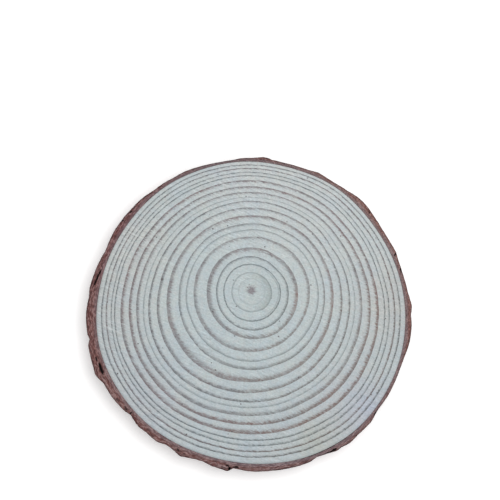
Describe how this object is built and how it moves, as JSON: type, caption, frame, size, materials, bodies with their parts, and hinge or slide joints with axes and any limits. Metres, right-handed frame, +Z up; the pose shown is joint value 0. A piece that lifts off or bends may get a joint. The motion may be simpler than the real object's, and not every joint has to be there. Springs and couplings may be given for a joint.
{
  "type": "wood slice",
  "caption": "Thin slice sawn square across a young pine trunk: an off-centre, slightly oval disc of wood with close growth rings, inside a thin rough ring of bark.",
  "frame": {"origin": "on the lower sawn face, under the middle of the slice's bounding box", "axes": "+Z up, along the trunk, towards the upper sawn face; +X along the slice's widest direction; +Y the other way across, towards the side that the rings' centre (pith) lies nearer to"},
  "size_m": [0.1, 0.0968, 0.01],
  "materials": {
    "wood": "sawn and dry, matt: pale silvery blue-grey between narrow mauve-grey growth rings, with fine slanting saw marks",
    "bark": "rough, dry and matt: flaky red-brown bark, a duller purplish brown next to the wood, near black in its cracks"
  },
  "bodies": {
    "root": {"wood": "wood", "bark": "bark"}
  },
  "joints": []
}
